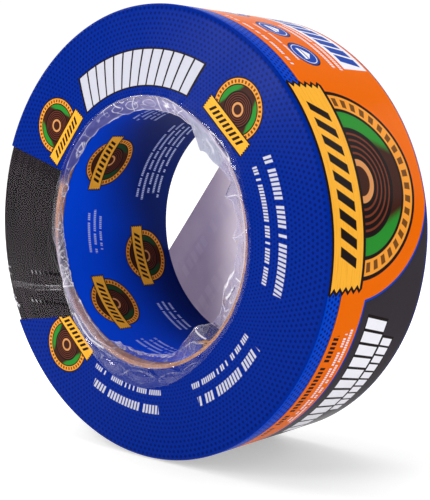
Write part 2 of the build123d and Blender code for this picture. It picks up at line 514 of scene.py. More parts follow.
def tread_material():
    """Orange and grey tread with the large emblem and a blue border."""
    canvas = Canvas("film_tread_print")
    arc = math.pi / 180 * ROLL_R
    a = canvas.degrees(canvas.z, canvas.x) * arc
    y = canvas.y + FILM_HALF
    canvas.paint(ORANGE)

    emblem_a = a - EMBLEM_ANGLE * arc
    emblem_y = y - EMBLEM_Y
    distance = canvas.radius(emblem_a, emblem_y)
    grey = canvas.high(HALO_R - distance, GREY_LOW_Y - y, emblem_a, -118 * arc - a)
    canvas.fill(LINE_BLUE, grey - 1.0)
    canvas.fill(INK, grey - 0.2)
    canvas.fill(GREY, grey)

    # front border in the face's blue painted lighter, as painted light
    border = y - STRIP_EDGE_Y
    canvas.fill(INK, border - 0.35)
    canvas.fill(BORDER_BLUE_PAINTED_LIGHTER, border)
    dots = dot_grid(canvas, a / DOT_PITCH, y / DOT_PITCH)
    canvas.paint(BLUE_DOT, canvas.inside(border) * canvas.inside(dots, 0.16))
    canvas.fill(BLUE, 2 * FILM_HALF - 1.2 - y)

    for middle, length, mean_y, height, count in GREY_HEADLINES:
        along = a * -1 + middle * arc
        tilted = y - mean_y - along * 0.035
        blocks = block_row(canvas, along, tilted, length * arc, height, count)
        canvas.fill(INK, blocks - 0.5)
        canvas.fill(WHITE, blocks)
    middle, length, mean_y, height, count = PLATE
    along = a * -1 + middle * arc
    across = y - mean_y
    plate = canvas.high(abs(along) - (length / 2 + 1) * arc, abs(across) - height / 2 - 1)
    canvas.fill(WHITE, plate - 0.8)
    canvas.fill(ROUNDEL, block_row(canvas, along, across, length * arc, height, count))

    for seed, (middle, length, mean_y, *rest, ink) in enumerate(TREAD_BLOCKS):
        along = a * -1 + middle * arc
        block = small_block(canvas, along, y - mean_y, length * arc, *rest, seed + 31)
        canvas.paint(ink, block)
    for turn, mean_y, size in ROUNDELS:
        roundel(canvas, a * -1 + turn * arc, y - mean_y, size)

    badge(canvas, emblem_a * -1, emblem_y, EMBLEM, False, GREEN)
    return film_finish(canvas, 0.006)


# ---- card, flap, tape, core
CARD_BLUE = rgb(0, 70, 216)
CARD_SHADE_NAVY = rgb(9, 30, 98)
CARD_TYPE = rgb(186, 198, 238)
# Badges on the card: angle from the left, distance from the front of the core.
CARD_BADGES = (
    (-34.5, 15.8), (17.0, 36.8), (40.4, 15.4), (-110.0, 15.6), (93.0, 36.8), (116.0, 15.6),
)
CARD_BADGE = (9.2, 2.6, 10.4, 2.3)           # sizes, as badge() takes them
# Blocks of type on the card: middle angle, length in degrees, y, rows.
CARD_BLOCKS = (
    (2.5, 24.0, 15.2, 3),
    (-37.5, 56.0, 38.4, 5),
    (54.0, 24.0, 36.0, 3),
    (76.0, 24.0, 15.6, 4),
    (-72.0, 18.0, 16.5, 5),
    (140.0, 50.0, 34.0, 5),
)


def card_material():
    """Blue printed card lining the core, with painted shade darkening it towards the back and the
    top of the bore.
    """
    canvas = Canvas("card_print")
    angle = canvas.degrees(canvas.z * -1, canvas.x * -1)
    arc = math.pi / 180 * (CARD_R - CARD_T)
    a = angle * arc
    y = canvas.y + FILM_HALF
    canvas.paint(CARD_BLUE)
    # painted shade: the blue turns navy towards the back and the top of the bore
    deep = canvas.ramp(y + canvas.high(canvas.z, 0) * 0.6, 12.0, 46.0)
    canvas.paint(CARD_SHADE_NAVY, deep)
    for seed, (middle, length, mean_y, rows) in enumerate(CARD_BLOCKS):
        block = small_block(
            canvas, a - middle * arc, y - mean_y, length * arc, rows, 2.5, 1.3, 0.62, seed + 71
        )
        canvas.paint(CARD_TYPE, block)
    places = [(turn * arc, mean_y, 0) for turn, mean_y in CARD_BADGES]
    u, v = about_nearest(canvas, a, y, places, 14.0)
    badge(canvas, u, v, CARD_BADGE, True, DEEP_GREEN)
    fibre = canvas.grain(900.0, 3.0)
    canvas.bump(fibre, 0.00005, 0.2)
    return canvas.finish(fibre * 0.1 + 0.45, 0.02)


def thin_paper(canvas, roughness, specular):
    """Fibrous paper that lets most of the light through."""
    fibre = canvas.grain(1200.0, 3.0)
    canvas.bump(fibre, 0.00004, 0.3)
    canvas.finish(fibre * 0.1 + (roughness - 0.05), specular)
    through = canvas.node("BsdfTranslucent", {"Color": canvas.colour})
    canvas.blend(0.74, canvas.shader.outputs[0], through.outputs[0])
    return canvas.material


def flap_paper_material(flap_turn):
    """Unprinted side of the flap, with the other side's print showing through and painted light
    paling it towards the right.
    """
    canvas = Canvas("flap_paper")
    u, v = local_axes(canvas.x, canvas.z, 0, 0, flap_turn)
    canvas.paint(rgb(132, 119, 143))
    cloud = canvas.grain(28.0, 3.0)
    canvas.paint(rgb(168, 156, 176), canvas.ramp(cloud, 0.35, 0.7) * 0.5)
    # painted light: the paper turns nearly white towards the right
    right = canvas.ramp(canvas.x, -20.0, 8.0)
    canvas.paint(rgb(255, 244, 250), right)
    for seed, (mean_u, length, mean_v, height, cell) in enumerate((
        (-2.0, 62.0, 12.0, 5.0, 3.4),
        (-4.0, 70.0, -1.0, 7.0, 4.6),
        (-2.0, 58.0, -14.0, 4.0, 3.0),
        (0.0, 66.0, -24.0, 3.0, 2.4),
    )):
        line = small_line(canvas, u - mean_u, v - mean_v, length, height, cell, seed + 101)
        canvas.paint(rgb(250, 240, 246), line * 0.03)
    return thin_paper(canvas, 0.6, 0.2)


def flap_print_material(flap_turn):
    """Printed side of the flap: a pale title bar and lines of small type."""
    canvas = Canvas("flap_print")
    u, v = local_axes(canvas.x, canvas.z, 0, 0, flap_turn)
    canvas.paint(rgb(250, 248, 252))
    title = block_row(canvas, u, v - 12.0, 60.0, 6.0, 12)
    canvas.paint(rgb(236, 236, 246), canvas.inside(title))
    for seed in range(6):
        length = 80.0 - 9 * (seed % 3)
        line = small_line(canvas, u, v + 2.0 + seed * 5.2, length, 2.2, 1.4, seed + 120)
        canvas.paint(rgb(232, 232, 240), line)
    return thin_paper(canvas, 0.5, 0.3)


def tape_material():
    """Black tape: fine turns on the sides, a faint cloth weave on the outer face."""
    canvas = Canvas("tape_cloth")
    r = canvas.radius(canvas.x, canvas.z)
    angle = canvas.degrees(canvas.z, canvas.x)
    canvas.paint(rgb(12, 5, 10))
    turns = canvas.grain(1.0, 3.0, 0.7, vector=canvas.vector(r * 1.1, angle * 0.03))
    canvas.paint(rgb(46, 34, 43), canvas.ramp(turns, 0.42, 0.68) * 0.85)
    dust = canvas.grain(1.0, 3.0, 0.6, vector=canvas.vector(r * 1.2, angle * 1.0))
    canvas.paint(rgb(116, 106, 112), canvas.ramp(dust, 0.66, 0.78) * 0.55)
    near_core = canvas.ramp(r * -1, -43.5, -41.5)
    blot = canvas.grain(1.0, 2.0, 0.5, vector=canvas.vector(r * 0.3, angle * 0.16))
    canvas.paint(rgb(5, 3, 4), canvas.ramp(blot, 0.52, 0.58) * near_core * 0.9)
    arc = math.pi / 180 * TAPE_R
    weave_a = canvas.calc("SINE", angle * (arc * 2 * math.pi / 1.4))
    weave_y = canvas.calc("SINE", canvas.y * (2 * math.pi / 0.9))
    cloth = canvas.high(weave_a, weave_y) * canvas.ramp(r, TAPE_R - 1.2, TAPE_R - 0.6)
    canvas.bump(cloth, 0.00004, 0.4)
    return canvas.finish(turns * 0.2 + 0.45, 0.06)


def paperboard_material():
    """Kraft paperboard: darker fibres and a few lighter patches."""
    canvas = Canvas("kraft_board")
    canvas.paint(rgb(180, 126, 92))
    short = canvas.node("Mapping", {"Vector": canvas.place, "Scale": (1, 0.35, 1)}).outputs[0]
    fibre = canvas.grain(1400.0, 4.0, 0.6, vector=short)
    canvas.paint(rgb(134, 88, 62), canvas.ramp(fibre, 0.4, 0.7) * 0.75)
    patch = canvas.grain(240.0, 3.0)
    canvas.paint(rgb(200, 156, 124), canvas.ramp(patch, 0.55, 0.75) * 0.5)
    canvas.bump(fibre, 0.00008, 0.6)
    return canvas.finish(0.85, 0.2)


# ---- clear film
def clear_film_material(name, paint, mirror_floor):
    """Thin clear film: what is behind shows through, its gloss lies on top, and folds are milky,
    with painted highlights and painted shade.

    paint takes the canvas, sets its colour and gives how opaque the film is, from 0 to 1."""
    canvas = Canvas(name)
    milky = paint(canvas)
    canvas.finish(0.4, 0.03)
    gloss = canvas.node("BsdfGlossy", {"Color": PURE, "Roughness": 0.07}).outputs[0]
    clear = canvas.node("BsdfTransparent", {"Color": PURE}).outputs[0]
    slant = canvas.node("LayerWeight", {"Blend": 0.5}).outputs["Facing"]
    steep = canvas.calc("POWER", slant, 5)
    over = canvas.blend(steep * 0.5 + mirror_floor, clear, gloss)
    canvas.blend(canvas.calc("MULTIPLY", milky, 1, clamp=True), over, canvas.shader.outputs[0])
    return canvas.material


def clear_edge_material():
    """The cut edges of the clear film, which hardly show."""
    canvas = Canvas("clear_film_edge")
    canvas.paint(WHITE)
    canvas.paint(LILAC, canvas.ramp(canvas.grain(400.0, 2.0), 0.4, 0.6))
    canvas.finish(0.4, 0.1)
    clear = canvas.node("BsdfTransparent", {"Color": PURE}).outputs[0]
    canvas.blend(0.04, clear, canvas.shader.outputs[0])
    return canvas.material


def mesh_paint(canvas):
    """The colour and opacity that the mesh itself carries."""
    mark = canvas.node("Attribute", attribute_name="film_paint")
    canvas.paint(mark.outputs["Color"])
    return Field(canvas, mark.outputs["Alpha"])


PERFORATION = 2.0                            # from one hole to the next


def window_paint(canvas):
    """The mesh's own folds, and the two rows of perforations."""
    opaque = mesh_paint(canvas)
    on_face = canvas.inside(FILM_HALF - 0.9 - abs(canvas.y), 0.2)
    outer = canvas.ramp(canvas.x * -1, 51.0, 53.0) * on_face
    for level in (TEAR_TOP[0], TEAR_BOTTOM[0]):
        up = canvas.z - level
        u = (canvas.x + up * 0.8) * on_face + canvas.y * (1 - on_face)
        along = canvas.cell(u / PERFORATION) * PERFORATION
        dash = canvas.high(abs(along) - 0.28, abs(up) - 0.45)
        near_core = canvas.ramp(canvas.x, -50.0, -44.0) * on_face
        light = canvas.inside(dash, 0.12) * (1 - outer) * (1 - near_core)
        between = canvas.cell(u / PERFORATION + 0.5) * PERFORATION
        edge = canvas.radius(between, up)
        dark = canvas.inside(edge - 0.50, 0.2) * (1 - outer) * (near_core * 0.6 + 0.3)
        canvas.fill(HOLE, edge - 0.64, 0.05)
        opaque = canvas.high(opaque, light * 0.32, dark)
    return opaque


# ---- meshes
def make_piece(
    name, points, faces, materials, body, replaced=(), face_slots=None, sharp=40, paint=None
):
    """A mesh in the row frame from points in mm, riding on a body.

    paint holds red, green, blue and opacity for every point, for the material to read."""
    mesh = bpy.data.meshes.new(name)
    mesh.from_pydata((np.asarray(points) * MM).tolist(), [], faces)
    for material in materials:
        mesh.materials.append(material)
    if face_slots is not None:
        mesh.polygons.foreach_set("material_index", face_slots)
    if paint is not None:
        layer = mesh.attributes.new("film_paint", "FLOAT_COLOR", "POINT")
        layer.data.foreach_set("color", np.asarray(paint, dtype=np.float32).ravel())
    mesh.update()
    mesh.shade_smooth()
    mesh.set_sharp_from_angle(angle=math.radians(sharp))
    piece = add_object(name, mesh)
    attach(piece, body)
    if replaced:
        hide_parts(*replaced)
    return piece


def shell(outside, inside, wrap):
    """Points and faces of a closed shell between two grids of points.

    Both grids are (along, across, 3); with wrap, the last row along joins the first.
    The outside's faces come first, then the inside's, then the edges'."""
    rows, columns = outside.shape[:2]
    points = np.concatenate([outside.reshape(-1, 3), inside.reshape(-1, 3)])
    under = rows * columns
    outer, inner, rims = [], [], []

    def close(a, b, flip):
        quad = (a, under + a, under + b, b)
        rims.append(quad[::-1] if flip else quad)

    for i in range(rows if wrap else rows - 1):
        near, far = i * columns, (i + 1) % rows * columns
        for a, b in zip(range(near, near + columns - 1), range(far, far + columns - 1)):
            outer.append((a, b, b + 1, a + 1))
            inner.append((under + a, under + a + 1, under + b + 1, under + b))
        close(near, far, False)
        close(near + columns - 1, far + columns - 1, True)
    for start in () if wrap else (0, under - columns):
        for a in range(start, start + columns - 1):
            close(a, a + 1, start == 0)
    return points, outer + inner + rims


def round_place(radius, angle, y):
    """Points from radii, angles in degrees and places along the axis."""
    turn = np.radians(angle)
    x = radius * np.cos(turn)
    z = radius * np.sin(turn) + AXIS_Z
    return np.stack([x, np.broadcast_to(y, x.shape), z], axis=-1)


def ripple(a, b, seed, scale=1.0):
    """Smooth noise between about -1 and 1 over two arrays of the same shape."""
    u, v = np.asarray(a) * scale, np.asarray(b) * scale
    cell_u, cell_v = np.floor(u), np.floor(v)
    part_u, part_v = u - cell_u, v - cell_v

    def corner(du, dv):
        mixed = np.sin((cell_u + du) * 127.1 + (cell_v + dv) * 311.7 + seed * 74.7) * 43758.5453
        return (mixed - np.floor(mixed)) * 2 - 1

    ease_u = part_u * part_u * (3 - 2 * part_u)
    ease_v = part_v * part_v * (3 - 2 * part_v)
    low_side = corner(0, 0) * (1 - ease_u) + corner(1, 0) * ease_u
    high_side = corner(0, 1) * (1 - ease_u) + corner(1, 1) * ease_u
    return low_side * (1 - ease_v) + high_side * ease_v


def around_the_ring(degrees, radius=1.0):
    """A circle's two coordinates, so that noise meets itself after a whole turn."""
    turn = np.radians(degrees)
    return radius * np.cos(turn), radius * np.sin(turn)


def turn_gap(degrees, middle):
    """Signed angle from the middle, between -180 and 180."""
    return (degrees - middle + 180) % 360 - 180


def distance_to_line(u, v, line):
    """How far each place is from a line through several points."""
    nearest = np.full_like(u, 99.0)
    for (u_a, v_a), (u_b, v_b) in zip(line[:-1], line[1:]):
        run_u, run_v = u_b - u_a, v_b - v_a
        share = ((u - u_a) * run_u + (v - v_a) * run_v) / (run_u ** 2 + run_v ** 2)
        share = unit(share)
        nearest = np.minimum(nearest, np.hypot(u - u_a - share * run_u, v - v_a - share * run_v))
    return nearest


class FilmPaint:
    """Colour and opacity of the film at every point of its mesh, laid on in layers."""

    def __init__(self, shape, colour):
        self.colour = np.ones(shape + (3,)) * np.array(colour[:3])
        self.cover = np.zeros(shape)

    def lay(self, colour, share):
        """Put a colour over what is there, as opaque as share says, from 0 to 1."""
        share = np.clip(share, 0, 0.96)
        total = share + self.cover * (1 - share)
        weight = (share / np.maximum(total, 1e-6))[..., None]
        self.colour = self.colour + (np.array(colour)[..., :3] - self.colour) * weight
        self.cover = total

    def points(self):
        """One row of red, green, blue and opacity per point, for both sides of a shell."""
        rows = np.concatenate([self.colour, self.cover[..., None]], axis=-1).reshape(-1, 4)
        return np.concatenate([rows, rows])


def unit(value):
    """Values kept between 0 and 1."""
    return np.clip(value, 0, 1)


def hump(offset, half_width):
    """1 at zero, falling smoothly to 0 at the half width."""
    share = unit(1 - np.abs(offset) / half_width)
    return share * share * (3 - 2 * share)


# ---- the sleeve's section
def sleeve_section(face_steps, tread_steps):
    """Radii, places along y and outward directions from the front bore edge to the rear."""
    flat_r, flat_y = ROLL_R - EDGE_R, FILM_HALF - EDGE_R
    face = np.linspace(PRINT_INNER_R, flat_r, face_steps, endpoint=False)
    turn = np.linspace(0, math.pi / 2, EDGE_STEPS, endpoint=False)
    tread = np.linspace(-flat_y, flat_y, tread_steps, endpoint=False)
    back = np.linspace(flat_r, PRINT_INNER_R, face_steps)
    normal_r = np.concatenate([0 * face, np.sin(turn), 0 * tread + 1, np.cos(turn), 0 * back])
    normal_y = np.concatenate([0 * face - 1, -np.cos(turn), 0 * tread, np.sin(turn), 0 * back + 1])
    bend = np.full(2 * EDGE_STEPS + tread_steps, flat_r)
    radii = np.concatenate([face, bend, back])
    sides = np.full(face_steps + EDGE_STEPS, flat_y)
    places = np.concatenate([-sides, tread, sides])
    return radii + EDGE_R * normal_r, places + EDGE_R * normal_y, (normal_r, normal_y)


def edge_angle(radius, edge):
    """Angle, between 90 and 270, where a window edge meets a circle about the axis."""
    slope = (edge[1] - edge[0]) / (WINDOW_X[1] - WINDOW_X[0])
    level = edge[0] - slope * WINDOW_X[0]       # height of the edge's line at x = 0
    a = 1 + slope * slope
    b = 2 * slope * level
    c = level * level - radius * radius
    x = (-b - math.sqrt(b * b - 4 * a * c)) / (2 * a)
    return math.degrees(math.atan2(level + slope * x, x)) % 360


def film_offset(radii, angles, places, face_part):
    """How far the film stands off its flat place: puckers at the core and slow waves."""
    arc = np.radians(angles) * radii
    across, up = around_the_ring(angles, radii)
    stand = 0.10 + 0.08 * ripple(across + places, up - places, 1, 0.06)
    pull = np.exp(-np.maximum(radii - PRINT_INNER_R, 0) / 1.6) * face_part
    pucker = ripple(arc, radii * 0.35, 2, 0.55) + 0.6 * ripple(arc, radii, 3, 0.22)
    stand = stand + pull * (0.10 + 0.35 * np.abs(pucker))
    on_floor = np.exp(-((turn_gap(angles, -90) / 16.0) ** 2))
    return stand * (1 - on_floor * (1 - face_part))


# Creases and folds in the window: half width, height, whiteness (crease whitening and painted
# highlight), then points as distance from the axis and height on the front face.
WINDOW_FOLDS = (
    (0.30, 0.04, 0.075, ((66.5, -18.6), (56.3, -18.2), (50.3, -18.8), (37.0, -17.9))),
    (0.30, 0.04, 0.065, ((66.5, -20.3), (56.0, -19.5), (49.3, -20.2), (37.0, -19.2))),
    (0.26, 0.05, 0.20, ((44.0, -18.5), (37.0, -17.9))),
    (0.26, 0.05, 0.20, ((42.0, -19.6), (37.0, -19.2))),
    (0.80, 0.04, 0.03, ((66.0, -19.4), (56.0, -18.9), (37.0, -18.6))),
    (0.34, 0.16, 0.40, ((63.0, -13.4), (62.0, -13.8))),
    (0.24, 0.12, 0.40, ((63.9, -14.4), (61.4, -16.2))),
    (0.46, 0.12, 0.24, ((62.7, -16.0), (62.1, -17.4))),
    (0.36, 0.20, 0.80, ((61.0, -22.0), (60.2, -23.2), (59.4, -23.9))),
    (0.36, 0.20, 0.80, ((59.9, -24.4), (58.6, -25.6), (57.6, -26.4))),
    (0.24, 0.10, 0.20, ((60.2, -25.2), (57.8, -27.8))),
)


def window_folds(out, up, on_rear):
    """Height and whiteness of the folds at places on the window; the whiteness is partly painted
    highlight.
    """
    height, white = np.zeros((2,) + out.shape)
    for half_width, lift, glare, line in WINDOW_FOLDS:
        ridge = hump(distance_to_line(out, up, line), half_width)
        height = np.maximum(height, ridge * lift)
        white = np.maximum(white, ridge * glare)
    # The double crease goes on round the tread and the rear face.
    past = unit((out - 66.0) / 2)
    for level in (-18.5, -20.2):
        sway = 0.35 * ripple(out * 0.16, level + 0 * out, 51)
        ridge = hump(up - level - sway, 0.45) * np.maximum(past, on_rear)
        height = np.maximum(height, ridge * 0.25)
        white = np.maximum(white, ridge * 0.1)
    return height, white


def section_columns(section, count):
    """The section's radii, places and two parts of its direction, repeated in rows."""
    radii, places, (normal_r, normal_y) = section
    return tuple(np.tile(row, (count, 1)) for row in (radii, places, normal_r, normal_y))


def film_piece(name, grid, body, replaced, materials, window):
    """A closed shell of film over a grid of places on the sleeve."""
    angles, radii, places, normal_r, normal_y = grid
    stand = film_offset(radii, angles, places, np.abs(normal_y))
    paint = None
    if window:
        out = -radii * np.cos(np.radians(angles)) + np.maximum(places + FILM_HALF, 0)
        up = radii * np.sin(np.radians(angles))
        height, white = window_folds(out, up, (normal_y > 0.5).astype(float))
        stand = stand + height
        # crease whitening and painted highlights on the window's folds
        folds = FilmPaint(white.shape, CREASE_WHITE_AND_GLINT)
        folds.lay(CREASE_WHITE_AND_GLINT, white)
        paint = folds.points()
    out_r = radii + normal_r * stand * 0.6
    out_y = places + normal_y * stand
    outside = round_place(out_r, angles, out_y)
    inside = round_place(out_r - normal_r * FILM_T, angles, out_y - normal_y * FILM_T)
    points, faces = shell(outside, inside, False)
    if window:
        sheets = 2 * (radii.shape[0] - 1) * (radii.shape[1] - 1)
        face_slots = (np.arange(len(faces)) >= sheets).astype(np.int32)
    else:
        middles = np.abs(points[np.array(faces), 1].mean(axis=1))
        face_slots = (middles < FILM_HALF - EDGE_R * 0.4).astype(np.int32)
    return make_piece(
        name, points, faces, materials, body, replaced, face_slots, paint=paint
    )


def film_between(name, start_edge, end_edge, long_way, steps, section, replaced, materials, window):
    """One region of the sleeve between two of the window's slanting lines."""
    starts = np.array([edge_angle(r, start_edge) for r in section[0]])
    ends = np.array([edge_angle(r, end_edge) for r in section[0]])
    if long_way:
        ends = ends + 360
    share = np.linspace(0, 1, steps + 1)[:, None]
    grid = (starts + (ends - starts) * share, *section_columns(section, steps + 1))
    return film_piece(name, grid, "roll", replaced, materials, window)


def tear_strip_pieces(materials):
    """The strip between the perforations: the part that stays, and the end that peels."""
    levels = np.linspace(TEAR_TOP[0], TEAR_BOTTOM[0], 41)[:, None]
    face_steps = 40
    section = sleeve_section(face_steps, 60)
    radii, places, normal_r, normal_y = section_columns(section, len(levels))
    step = np.arange(radii.shape[1])
    fold_r = np.hypot(FOLD_X, levels)
    front_r = fold_r + (ROLL_R - EDGE_R - fold_r) * (step / face_steps)
    radii = np.where(step < face_steps, front_r, radii)
    angles = 180 - np.degrees(np.arcsin(levels / radii))
    grid = (angles, radii, places, normal_r, normal_y)
    film_piece("tear_strip_film", grid, "roll", ("tear_strip",), materials, True)

    inner_x = -np.sqrt(PRINT_INNER_R ** 2 - levels ** 2)
    radii = np.hypot(inner_x + (FOLD_X - inner_x) * np.linspace(0, 1, 90), levels)
    angles = 180 - np.degrees(np.arcsin(levels / radii))
    flat = np.ones_like(radii)
    grid = (angles, radii, -FILM_HALF * flat, 0 * flat, -flat)
    film_piece("tear_strip_end_film", grid, "tear_end", ("tear_strip_end",), materials, True)


# ---- skirts: film gathered over the rims of the core
RIM_R = CORE_IN_R - 0.35                     # where the film turns into the bore
SKIRT_T = 0.05                               # thickness of the skirts' film
# Where the front film's free edge reaches: angle, how far into the bore, how far from its wall.
FREE_EDGE = (
    (-180, 2.9, 0.3), (-160, 2.3, 0.6), (-138, 2.1, 0.4), (-118, 2.4, 0.5), (-106, 6.0, 0.9),
    (-92, 6.8, 1.5), (-78, 6.4, 2.6), (-70, 5.8, 5.0), (-60, 5.6, 7.6), (-46, 5.2, 4.6),
    (-40, 5.0, 4.6), (-26, 5.4, 8.0), (-19, 5.0, 6.5), (-4, 4.6, 5.6), (1, 5.0, 7.8),
    (6, 4.4, 5.4), (19, 4.4, 5.4), (24, 5.6, 8.6), (27, 3.8, 3.6), (42, 5.6, 6.6),
    (55, 5.8, 7.6), (64, 4.0, 2.6), (68, 2.8, 1.8), (104, 2.1, 1.6), (132, 1.7, 1.0),
    (146, 2.0, 1.0), (153, 1.2, 0.6), (160, 2.5, 0.5), (170, 1.4, 0.2), (180, 2.9, 0.3),
)
# How milky the film is: angle, share, where that starts inside the rim, and 1 for frosted.
MILKINESS = (
    (-180, 0.30, 0.3, 1), (-164, 0.36, -0.6, 1), (-156, 0.36, -1.0, 1), (-150, 0.24, -2.0, 1),
    (-144, 0.14, -2.4, 0), (-138, 0.14, -3.2, 0), (-120, 0.12, -2.6, 0), (-104, 0.06, -2.0, 0),
    (-80, 0.05, -1.0, 0), (-60, 0.10, 0.2, 0), (-50, 0.05, 0.0, 0), (22, 0.05, 0.0, 0),
    (28, 0.16, -0.2, 0), (35, 0.40, -0.4, 0), (40, 0.84, -0.4, 1), (60, 0.86, -0.8, 1),
    (67, 0.32, -1.5, 0), (76, 0.36, -2.3, 0), (92, 0.28, -2.4, 0), (104, 0.13, -2.4, 0),
    (132, 0.10, -1.0, 0), (152, 0.08, -0.3, 0), (158, 0.10, 0.6, 0), (170, 0.06, 0.8, 0),
    (180, 0.30, 0.3, 1),
)
# How much of the core's end the film hides: angle, share, and 1 where it is blue.
COVER = (
    (-180, 0.10, 0), (-166, 0.40, 0), (-150, 0.40, 0), (-140, 0.15, 0), (-105, 0.02, 0),
    (-40, 0.02, 0), (10, 0.16, 0), (45, 0.60, 0), (60, 0.80, 0.4), (80, 0.85, 0.8),
    (100, 0.90, 1), (150, 0.92, 1), (155, 0.50, 1), (160, 0.05, 0), (180, 0.10, 0),
)
# How much of the film carries curved glints: angle, share.
GLINTS = (
    (-180, 0.8), (-152, 0.9), (-146, 0.3), (-104, 0.15), (-60, 0.1), (-30, 0.25), (0, 0.1),
    (25, 0.1), (60, 0.4), (68, 0.85), (100, 0.85), (118, 0.25), (150, 0.4), (165, 0.3), (180, 0.8),
)
# Blisters in the film: angle, distance inside the rim, half length, half width,
# whiteness, partly milk and partly painted sheen and highlight.
BLISTERS = (
    (41, -1.6, 5.0, 0.8, 0.02), (-62, -4.2, 4.0, 1.6, 0.04), (-74, -5.0, 5.0, 2.0, 0.06),
    (-92, -4.4, 5.5, 1.8, 0.05), (-108, -4.6, 5.0, 2.0, 0.10), (-122, -4.2, 5.0, 1.6, 0.12),
    (-135, -3.2, 4.0, 1.1, 0.12), (-92, 5.6, 3.6, 0.8, 0.60), (-102, 5.2, 3.8, 0.8, 0.75),
    (-111, 3.6, 2.4, 0.8, 0.45), (-82, 5.2, 3.0, 0.8, 0.45), (161, 1.4, 2.2, 1.0, 0.02),
    (138, 1.0, 2.6, 0.6, 0.03), (106, 0.0, 2.2, 1.1, 0.05), (97, 0.2, 2.4, 1.4, 0.08),
    (86, 0.0, 2.6, 1.3, 0.12), (75, 0.4, 1.6, 1.6, 0.10), (-24, 1.7, 2.8, 1.1, 0.02),
    (-154, 0.2, 1.6, 1.4, 0.30),
)
# Single folds painted as highlights and shade: 1 for a painted highlight, 0 for painted shade,
# half width, share, then points as angle and distance inside the rim.
STROKES = (
    (1, 0.30, 0.60, ((18.5, 0), (22.5, 5))),
    (0, 0.45, 0.45, ((26.5, 3.5), (24, 5))),
    (1, 0.25, 0.55, ((4.5, 0), (2, 3), (0.5, 5))),
    (1, 0.25, 0.80, ((-17, 5), (-24.5, 5))),
    (1, 0.30, 0.90, ((-14.5, 4.5), (-16.5, 4.5), (-26.5, 5))),
    (1, 0.40, 0.95, ((-17.5, 3), (-17, 1.5), (-16.5, 0))),
    (1, 0.50, 0.90, ((-23, 2.5), (-30, 4))),
    (0, 0.35, 0.60, ((-21, 2), (-28.5, 3))),
    (0, 0.30, 0.50, ((-33, 5), (-33.5, 4))),
    (1, 0.25, 0.60, ((-34.5, 5), (-34, 2.5), (-30.5, 1))),
    (1, 0.40, 0.80, ((-37, 5), (-42, 5))),
    (0, 0.40, 0.55, ((-49, 5), (-43, 2.5))),
    (0, 0.30, 0.45, ((-46, 5), (-41.5, 2))),
    (1, 0.25, 0.95, ((-59, 5), (-51, 2))),
    (1, 0.20, 0.35, ((-68, 4), (-60, 3), (-52, 1))),
    (1, 0.25, 0.90, ((-153, -2), (-157, 1), (-151.5, 2), (-153, -2))),
    (1, 0.50, 0.60, ((-139, -2), (-126, -2.5), (-116, -1.5))),
    (1, 0.25, 0.40, ((-136, -0.5), (-122, -1), (-112, 0.5))),
    (1, 0.20, 0.55, ((-144, 2), (-117, 1.5))),
    (0, 0.30, 0.50, ((61, 4.5), (58, 4))),
    (1, 0.90, 0.50, ((49.5, 2), (45, 3.5))),
    (1, 0.20, 0.80, ((94.5, -2), (98, 2))),
    (1, 0.25, 0.85, ((80.5, 2), (80, -0.5), (81.5, -2))),
    (1, 0.25, 0.75, ((76.5, 2), (76, -1), (78, -1.5))),
    (1, 0.25, 0.80, ((66, -1), (70, 1.5))),
    (1, 0.25, 0.70, ((72, -1.5), (66.5, 1.5), (64, 4))),
    (1, 0.30, 0.80, ((107, -2), (106, -1), (104, 0))),
    (1, 0.25, 0.60, ((139.5, 1), (137, 1.5), (134.5, 0.5))),
)


def by_angle(table, degrees, column=1):
    """A value from a table that starts at -180 and ends at 180."""
    places = [row[0] for row in table]
    values = [row[column] for row in table]
    return np.interp(turn_gap(degrees, 0), places, values)


class SkirtGrid:
    """Places on a skirt, as angles and shares of the way across and in millimetres.

    arc runs round the rim, and depth is 0 at the rim and grows into the bore."""

    def __init__(self, reach):
        around, across = 1150, 38
        turns = np.linspace(-180, 180, around, endpoint=False)[:, None]
        self.angles = turns * np.ones((1, across))
        self.share = np.linspace(0, 1, across)[None, :] * np.ones((around, 1))
        self.arc = np.radians(self.angles) * RIM_R
        self.ring = around_the_ring(self.angles, RIM_R)
        self.reach_in, self.lean, reach_out = reach(self.angles, self.ring)
        self.depth = (self.reach_in + reach_out) * self.share - reach_out
        corner = np.sqrt(self.depth ** 2 + 0.5)
        self.on_face = (corner - self.depth) / 2
        self.in_bore = (corner + self.depth) / 2

    def near(self, middle, half_width):
        """1 at an angle, falling smoothly to 0 at the half width in degrees."""
        return hump(turn_gap(self.angles, middle), half_width)

    def wave(self):
        """Slow waves of the whole skirt."""
        ring_x, ring_z = self.ring
        return 0.35 * ripple(ring_x + self.depth, ring_z - self.depth, 14, 0.34)

    def cloud(self):
        """Soft patches between 0 and 1."""
        return 0.5 + 0.5 * ripple(self.arc * 0.64, self.depth * 1.1, 16)

    def lift(self, height):
        """How far the film stands off the face."""
        fade = unit(self.share * 8)
        return 0.30 * fade + np.clip(height, -0.1, 1.2) * unit(self.on_face / 1.5)


def front_reach(angles, ring):
    """How far the front skirt goes into the bore, leans off its wall and covers the face."""
    scallop = np.abs(ripple(*ring, 12, 0.21)) ** 0.7
    reach_in = by_angle(FREE_EDGE, angles, 1) * (1.05 - 0.16 * scallop)
    lean = by_angle(FREE_EDGE, angles, 2) * (1.06 - 0.16 * scallop)
    reach_out = 2.6 + 5.2 * hump(turn_gap(angles, -98), 58) + 1.6 * hump(turn_gap(angles, 40), 26)
    near_tear = unit(3 * hump(turn_gap(angles, -164), 14))
    return reach_in, lean, reach_out * (1 - near_tear) + 1.4 * near_tear


def rear_reach(angles, ring):
    """The same for the rear skirt, which is short and lies flat."""
    return 0.6 + 0.2 * ripple(*ring, 13, 0.21), 0 * angles, 0 * angles + 2.4


